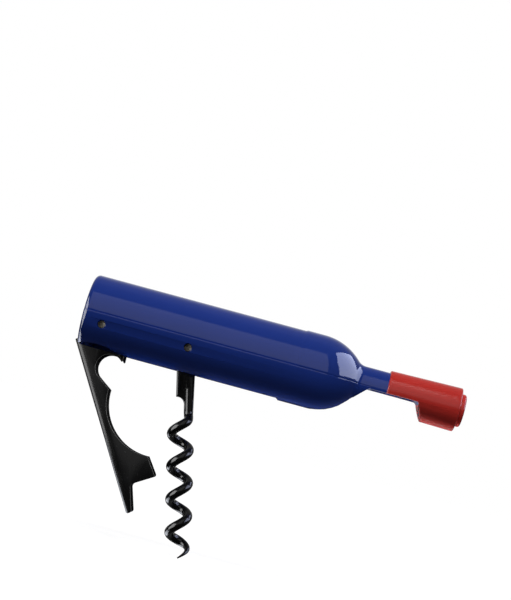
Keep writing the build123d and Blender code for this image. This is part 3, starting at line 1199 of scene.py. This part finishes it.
@dataclass
class Pins:
    """The two plain pins, with a small peened dish in each end."""

    finish: bpy.types.Material
    radius: float = 1.2
    half_length: float = 11.077
    chamfer: float = 0.2
    dish_rim: float = 0.35
    dish_depth: float = 0.12

    def build(self, place: float) -> Solid:
        """Model a pin.

        Args:
            place: Its place along X.

        Returns:
            The finished pin.
        """
        obj = rod("pin_rod", self.radius, 2 * self.half_length, (place, 0, -PIN_DROP), "Y")
        soften(obj, self.chamfer, Bevel.FINE, lambda a, b: abs(a.y - b.y) < self.chamfer)
        with editing(obj, "FACE"):
            pick_faces(obj, lambda normal: abs(normal.y) > FACING)
            bpy.ops.mesh.inset(thickness=self.dish_rim * MM, depth=-self.dish_depth * MM)
        return obj

    def dress(self) -> None:
        """Model both pins and hand them over."""
        pin = self.build(LEVER_PIN)
        copy = copied(pin, (WORM_PIN - LEVER_PIN, 0, 0))
        for node, piece in (("lever_pin", pin), ("worm_pin", copy)):
            piece.name = node + "_rod"
            hand_over(piece, self.finish, Body.CASE, [node])


@dataclass(frozen=True)
class Softbox:
    """A rectangular soft light, which faces the opener if it has no turn.

    Place and size are in millimetres, power in watts, and the turn about X, Y and Z in degrees.
    """

    name: str
    place: Triple
    size: Point
    power: float
    turn: Triple | None = None
    lights: bool = True
    mirrored: bool = True
    tint: Triple = (1.0, 1.0, 1.0)
    aim: Triple = (55.0, 0.0, 0.0)

    def hang(self) -> None:
        """Add the light, seen by matt surfaces if it lights, and by glossy ones if it is mirrored."""
        lamp = added(self.name, bpy.ops.object.light_add, type="AREA")
        lamp.data.shape = "RECTANGLE"
        lamp.data.size, lamp.data.size_y = self.size[0] * MM, self.size[1] * MM
        lamp.data.energy = self.power
        lamp.data.color = self.tint
        middle = Vector(self.place) * MM
        aim = Vector(self.aim) * MM - middle
        lamp.rotation_euler = aim.to_track_quat("-Z", "Y").to_euler()
        if self.turn:
            lamp.rotation_euler = [math.radians(angle) for angle in self.turn]
        lamp.location = middle
        lamp.visible_camera = False
        lamp.visible_diffuse = self.lights
        lamp.visible_glossy = self.mirrored


@dataclass
class Studio:
    """Floor, lights, surroundings and camera."""

    camera_place: Triple = (63.17, -514.84, -27.18)
    forward: Triple = (-0.02625, 0.99599, 0.08553)
    up: Triple = (-0.26019, -0.08942, 0.96141)
    lens: float = 99.45
    sensor: float = 36.0
    clip: Point = (0.01, 50.0)
    floor_middle: Triple = (50.0, 0.0, -66.2)
    floor_size: float = 30000.0
    floor_tones: Point = (0.3, 0.32)
    floor_noise: Point = (3, 2)
    floor_roughness: float = 0.9
    floor_glow: Point = (0.86, 1.0)
    floor_fade: Point = (0.2, 1.2)
    horizon: Point = (-0.05, 0.05)
    window_place: float = 680.0
    window: tuple[Point, ...] = ((-510, 120), (-515, 715), (-188, 1419), (664, 800), (150, 300), (230, 90))
    window_glow: float = 6.2
    window_tint: Triple = (0.68, 0.74, 1.0)
    softboxes: tuple[Softbox, ...] = (
        Softbox("front_panel", (5, -900, 885), (930, 1560), 2.75, (90, 0, 0)),
        Softbox("left_softbox", (-620, -580, -60), (800, 1100), 20.0, (0, -90, 0), lights=False),
        Softbox(
            "low_left_softbox", (-520, 330, -760), (800, 700), 11.0, lights=False, tint=(0.88, 0.92, 1.0)
        ),
        Softbox("low_softbox", (60, 480, -450), (500, 260), 6.0, mirrored=False),
        Softbox("fill_softbox", (40, -480, 740), (500, 300), 4.0, mirrored=False),
        Softbox("top_softbox", (40, 250, 900), (900, 300), 1.0, mirrored=False),
    )

    # Grey levels by direction along Y, below and above the horizon, in reflections and as light.
    mirrored: tuple[Stops, Stops] = (
        ((-1.0, 0.02), (0.0, 0.03), (1.0, 0.2)),
        ((-1.0, 0.07), (-0.2, 0.08), (0.02, 0.11), (0.24, 0.18), (0.5, 0.21), (0.77, 0.36), (1.0, 0.9)),
    )
    lit: tuple[Stops, Stops] = (
        ((-1.0, 0.05), (-0.1, 0.06), (0.4, 0.4), (0.62, 1.1), (1.0, 1.2)),
        ((-1.0, 0.05), (0.1, 0.05), (0.8, 0.9), (1.0, 0.9)),
    )

    def make_camera(self) -> None:
        """Set the camera at the photograph's viewing angle."""
        camera = added("camera", bpy.ops.object.camera_add)
        forward = Vector(self.forward).normalized()
        right = forward.cross(Vector(self.up)).normalized()
        up = right.cross(forward)
        turn = Matrix((right, up, -forward)).transposed().to_4x4()
        camera.matrix_world = Matrix.Translation(Vector(self.camera_place) * MM) @ turn
        camera.data.lens = self.lens
        camera.data.sensor_width = self.sensor
        camera.data.clip_start, camera.data.clip_end = self.clip
        bpy.context.scene.camera = camera

    def make_floor(self) -> None:
        """Lay the plain pale floor."""
        middle = [value * MM for value in self.floor_middle]
        floor = added("floor", bpy.ops.mesh.primitive_plane_add, size=self.floor_size * MM, location=middle)
        nodes = MaterialNodes("pale_floor")
        dark, pale = self.floor_tones
        nodes.drive("Base Color", nodes.mixed(nodes.noise(self.floor_noise), grey(dark), grey(pale)))
        nodes.shader.inputs["Roughness"].default_value = self.floor_roughness
        nodes.shader.inputs["Specular IOR Level"].default_value = 0
        nodes.shader.inputs["Emission Color"].default_value = (1, 1, 1, 1)
        distance = nodes.add("ShaderNodeVectorMath", operation="LENGTH")
        nodes.link(nodes.place, distance.inputs[0])
        glow = nodes.ranged(distance.outputs["Value"], self.floor_fade, self.floor_glow)
        nodes.drive("Emission Strength", glow)
        floor.data.materials.append(nodes.material)
        floor.visible_glossy = False
        floor.visible_diffuse = False
        floor.visible_shadow = False

    def make_window(self) -> None:
        """Hang the bright window that the shoulder mirrors, as a glowing sheet with slanted sides."""
        sheet = flat("window", [(self.window_place, *corner) for corner in self.window])
        nodes = MaterialNodes("window_light")
        nodes.shader.inputs["Base Color"].default_value = (*grey(0), 1)
        nodes.shader.inputs["Specular IOR Level"].default_value = 0
        nodes.shader.inputs["Emission Color"].default_value = (*self.window_tint, 1)
        nodes.shader.inputs["Emission Strength"].default_value = self.window_glow
        sheet.data.materials.append(nodes.material)
        sheet.visible_camera = False
        sheet.visible_diffuse = False
        sheet.visible_shadow = False

    def make_surroundings(self) -> None:
        """White backdrop for the camera, and separate surroundings for light and reflections."""
        world = bpy.data.worlds.new("studio")
        world.use_nodes = True
        world.node_tree.nodes.clear()
        nodes = Nodes(world.node_tree)
        split = nodes.add("ShaderNodeSeparateXYZ")
        nodes.link(nodes.add("ShaderNodeTexCoord").outputs["Generated"], split.inputs["Vector"])
        path = nodes.add("ShaderNodeLightPath")
        above = nodes.ranged(split.outputs["Z"], self.horizon)
        glossy, diffuse = [
            nodes.mixed(above, *[nodes.levels(split.outputs["Y"], stops) for stops in pair])
            for pair in (self.mirrored, self.lit)
        ]
        lit = nodes.mixed(path.outputs["Is Glossy Ray"], diffuse, glossy)
        background = nodes.add("ShaderNodeBackground")
        seen = nodes.mixed(path.outputs["Is Camera Ray"], lit, grey(1.0))
        nodes.link(seen, background.inputs["Color"])
        output = nodes.add("ShaderNodeOutputWorld")
        nodes.link(background.outputs["Background"], output.inputs["Surface"])
        bpy.context.scene.world = world
        bpy.context.scene.view_settings.view_transform = "Standard"

    def set_up(self) -> None:
        """Make the whole studio."""
        self.make_camera()
        self.make_floor()
        self.make_surroundings()
        self.make_window()
        for softbox in self.softboxes:
            softbox.hang()


def main() -> None:
    """Build the studio and every piece in order."""
    logging.basicConfig(level=logging.INFO, format="%(name)s: %(message)s")
    blue = PlasticFinish(
        "blue_moulded_plastic",
        colour=(0.015, 0.043, 0.285),
        drift=(0.016, 0.045, 0.3),
        gloss=(0.03, 0.07),
        peel_depth=0.004,
    ).make()
    red = PlasticFinish(
        "red_moulded_plastic",
        colour=(0.63, 0.034, 0.026),
        drift=(0.66, 0.037, 0.029),
        gloss=(0.2, 0.3),
        peel_depth=0.006,
        shine=0.4,
    ).make()
    satin = CoatedSteelFinish(
        "satin_black_coating",
        colour=grey(0.007),
        worn=grey(0.035),
        gloss=(0.22, 0.3),
        grain_depth=0.005,
        shine=0.28,
    ).make()
    glossy = CoatedSteelFinish(
        "glossy_black_coating",
        colour=grey(0.006),
        worn=grey(0.012),
        gloss=(0.14, 0.2),
        grain_depth=0.0005,
        shine=0.36,
    ).make()
    steel = DullSteelFinish(
        "dull_pin_steel",
        colour=(0.08, 0.075, 0.062),
        stain=(0.035, 0.032, 0.028),
        gloss=(0.45, 0.6),
    ).make()
    Studio().set_up()
    bottle = Bottle()
    shells = Shells(bottle, blue)
    lever = Lever(satin)
    shells.dress(lever.swing_cuts(bottle, shells.slot_half))
    Sleeve(bottle, red).dress()
    lever.dress()
    Worm(glossy).dress()
    Pins(steel).dress()


if __name__ == "__main__":
    main()
